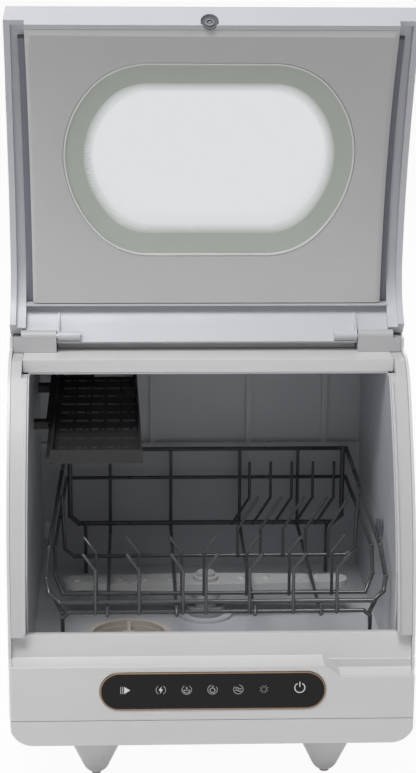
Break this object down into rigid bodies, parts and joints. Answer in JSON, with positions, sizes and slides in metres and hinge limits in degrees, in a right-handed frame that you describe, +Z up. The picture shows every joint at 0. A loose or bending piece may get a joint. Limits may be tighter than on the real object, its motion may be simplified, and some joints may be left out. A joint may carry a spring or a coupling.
{
  "type": "countertop dishwasher",
  "caption": "Countertop dishwasher with a flip-up curved lid and oval window, lift-out wire rack, sliding cutlery tray, spray arm and touch panel.",
  "frame": {"origin": "centre of the footprint's bounding box, on the plane the feet stand on", "axes": "+Z up, -Y out of the front face, +X to the right of someone facing the front"},
  "size_m": [0.426, 0.4448, 0.7941],
  "materials": {
    "shell": "light grey-white moulded plastic, satin gloss",
    "shell_dark": "grey moulded plastic",
    "liner": "cool grey liner plastic",
    "steel": "stainless tub sheet",
    "wire": "dark plastic-coated wire",
    "tray": "dark tray plastic",
    "glass": "clear window glass",
    "black": "black touch glass",
    "bronze": "bronze trim",
    "rubber": "soft dark seal",
    "arm": "pale translucent plastic",
    "filter": "beige filter plastic",
    "works": "grey moulded pump plastic",
    "board": "green circuit board",
    "metal": "plated steel",
    "blue": "blue valve plastic"
  },
  "bodies": {
    "cabinet": {"base_pan": "shell", "feet": "shell_dark", "foot_pads": "rubber", "fascia": "shell", "sill": "shell", "touch_bezel": "bronze", "touch_glass": "black", "control_board": "board", "side_panel_left": "shell", "side_panel_right": "shell", "side_frame_left": "shell", "side_frame_right": "shell", "rear_panel": "shell_dark", "top_cover": "shell", "hinge_blocks": "shell", "hinge_pins": "metal", "tub": "steel", "top_rail": "shell", "latch_strike": "metal", "sump": "works", "wash_pump": "works", "spray_feed": "works", "arm_bearing": "arm", "heater": "metal", "drain_pump": "works", "drain_hose": "rubber", "inlet_valve": "blue", "inlet_hose": "shell_dark", "power_board": "board", "cable_inlet": "rubber", "dry_fan": "works", "float_switch": "filter", "tray_runners": "tray", "panel_screws": "metal", "arm_cap": "arm"},
    "lid": {"lid_shell": "shell", "lid_liner": "liner", "window_glass": "glass", "window_outer": "glass", "window_trim": "shell", "window_seal": "rubber", "lid_seal": "rubber", "latch_catch": "works", "catch_screw": "metal"},
    "spray_arm": {"spray_arm": "arm"},
    "rack": {"rack_rim": "wire", "rack_cross": "wire", "rack_legs": "wire", "rack_long": "wire", "rack_tines": "wire", "rack_plate_tines": "wire", "rack_rollers": "works"},
    "tray": {"cutlery_tray": "tray"},
    "filter": {"filter_cup": "filter", "filter_mesh": "metal"}
  },
  "joints": [
    {"name": "lid_hinge", "type": "hinge", "parent": "cabinet", "child": "lid", "pos_m": [0, -0.02144, 0.44], "axis": [-1, 0, 0], "range_deg": [-135, 0]},
    {"name": "rack_lift", "type": "slide", "parent": "cabinet", "child": "rack", "axis": [0, 0, 1], "range_m": [0, 0.055]},
    {"name": "tray_slide", "type": "slide", "parent": "cabinet", "child": "tray", "axis": [0, -0.9968, -0.0802], "range_m": [0, 0.12]},
    {"name": "arm_spin", "type": "hinge", "parent": "cabinet", "child": "spray_arm", "pos_m": [0, -0.0086, 0.15], "axis": [0, 0, 1], "continuous": true},
    {"name": "filter_turn", "type": "hinge", "parent": "cabinet", "child": "filter", "pos_m": [-0.086, -0.0716, 0.115], "axis": [0, 0, 1], "range_deg": [0, 90]}
  ]
}
